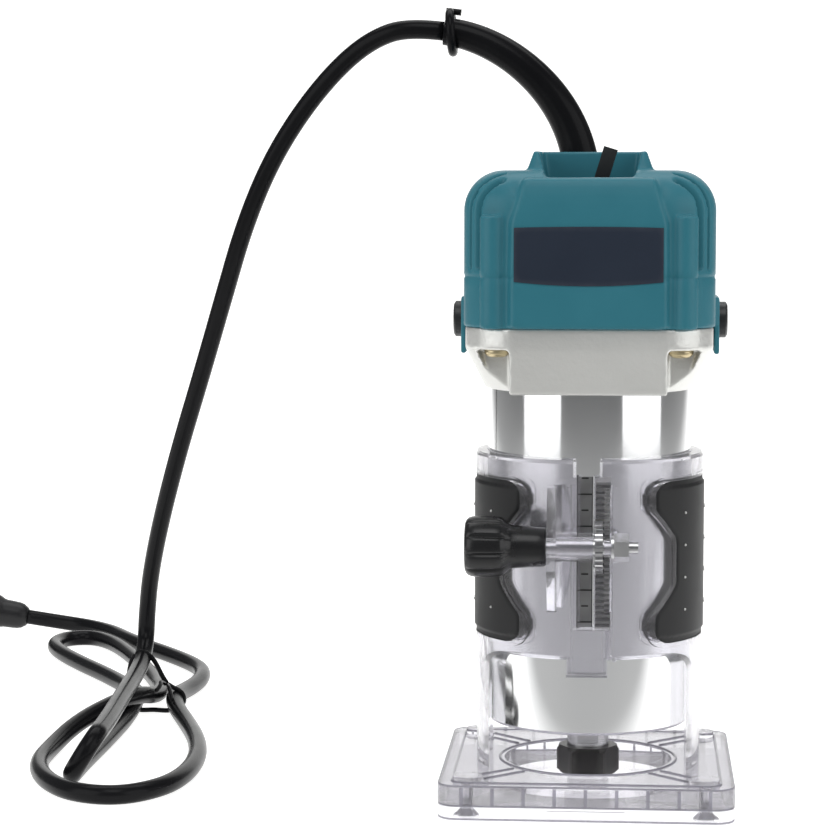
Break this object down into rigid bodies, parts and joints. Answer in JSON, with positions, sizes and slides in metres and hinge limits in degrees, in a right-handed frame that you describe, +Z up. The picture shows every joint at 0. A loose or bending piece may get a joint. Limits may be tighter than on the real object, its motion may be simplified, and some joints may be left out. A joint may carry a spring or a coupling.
{
  "type": "trim router",
  "caption": "Compact corded trim router with a clear clamp base, polished motor barrel, cast bracket, teal motor head, side depth knob and a tied mains cord.",
  "frame": {"origin": "centre of the base's underside, on the spindle axis", "axes": "+Z up along the spindle, -Y to the front with the depth knob and label, +X to the right seen from the front"},
  "size_m": [0.3515, 0.3511, 0.2539],
  "materials": {
    "clear_polycarbonate": "clear moulded polycarbonate, polished",
    "zinc_screw": "yellow zinc plated steel",
    "grip_rubber": "soft black rubber, matte",
    "black_plastic": "moulded black plastic",
    "plug_plastic": "soft black moulded plug",
    "steel": "ground steel",
    "black_steel": "black oxide steel",
    "plated_brass": "nickel plated brass",
    "polished_aluminium": "turned and polished aluminium",
    "cast_aluminium": "die-cast aluminium, matte",
    "teal_plastic": "teal glass-filled nylon, satin",
    "dark_label": "plain dark film label, blank",
    "core_steel": "stacked electrical steel",
    "copper": "enamelled copper wire and copper bars",
    "carbon": "pressed carbon",
    "cord_rubber": "black flexible PVC, slightly glossy"
  },
  "bodies": {
    "base": {"base_housing": "clear_polycarbonate", "base_protector": "clear_polycarbonate", "base_screws": "zinc_screw", "grip_right": "grip_rubber", "grip_left": "grip_rubber", "cord_drop": "cord_rubber", "cord_hank": "cord_rubber", "cord_tail": "cord_rubber", "plug_body": "plug_plastic", "plug_pins": "plated_brass"},
    "pinion": {"depth_knob": "black_plastic", "pinion_shaft": "steel", "lock_washer": "zinc_screw"},
    "lock_nut": {"lock_nut": "zinc_screw"},
    "motor": {"barrel": "polished_aluminium", "gear_rack": "steel", "depth_scale": "polished_aluminium", "upper_bracket": "cast_aluminium", "head_cover": "teal_plastic", "head_screws": "zinc_screw", "label_plate": "dark_label", "stator_core": "core_steel", "field_coils": "copper", "air_baffle": "black_plastic", "lower_bearing_outer_ring": "steel", "lower_bearing_balls": "steel", "upper_bearing_outer_ring": "steel", "upper_bearing_balls": "steel", "brush_holder_left": "black_plastic", "brush_spring_left": "steel", "brush_cap_left": "black_plastic", "brush_holder_right": "black_plastic", "brush_spring_right": "steel", "brush_cap_right": "black_plastic", "switch_body": "black_plastic", "cord_guard": "cord_rubber", "guard_tie": "cord_rubber"},
    "brush_left": {"brush_left": "carbon"},
    "brush_right": {"brush_right": "carbon"},
    "spindle": {"spindle_shaft": "steel", "lower_bearing_inner_ring": "steel", "upper_bearing_inner_ring": "steel", "armature_core": "core_steel", "armature_windings": "copper", "commutator": "copper", "cooling_fan": "black_plastic", "collet_cone": "steel"},
    "collet_nut": {"collet_nut": "black_steel"},
    "switch_lever": {"switch_lever": "black_plastic"}
  },
  "joints": [
    {"name": "depth_slide", "type": "slide", "parent": "base", "child": "motor", "axis": [0, 0, 1], "range_m": [-0.006, 0.02], "deforming": ["cord_drop"]},
    {"name": "depth_knob_turn", "type": "hinge", "parent": "base", "child": "pinion", "pos_m": [0, -0.0386, 0.0847], "axis": [1, 0, 0], "range_deg": [-45.9, 152.9]},
    {"name": "lock_nut_turn", "type": "hinge", "parent": "pinion", "child": "lock_nut", "pos_m": [0.009, -0.0386, 0.0847], "axis": [1, 0, 0], "range_deg": [-180, 0]},
    {"name": "spindle_spin", "type": "hinge", "parent": "motor", "child": "spindle", "pos_m": [0, 0, 0.03], "axis": [0, 0, 1], "continuous": true},
    {"name": "collet_nut_turn", "type": "hinge", "parent": "spindle", "child": "collet_nut", "pos_m": [0, 0, 0.01], "axis": [0, 0, 1], "range_deg": [-180, 0]},
    {"name": "switch_tilt", "type": "hinge", "parent": "motor", "child": "switch_lever", "pos_m": [0, 0, 0.187], "axis": [0, 1, 0], "range_deg": [-34, 0]},
    {"name": "brush_left_slide", "type": "slide", "parent": "motor", "child": "brush_left", "axis": [-1, 0, 0], "range_m": [0, 0.004], "stiffness_N_per_m": 150, "deforming": ["brush_spring_left"]},
    {"name": "brush_right_slide", "type": "slide", "parent": "motor", "child": "brush_right", "axis": [1, 0, 0], "range_m": [0, 0.004], "stiffness_N_per_m": 150, "deforming": ["brush_spring_right"]}
  ],
  "couplings": [
    {"joint": "depth_knob_turn", "follows": "depth_slide", "rad_per_m": 133.33}
  ]
}
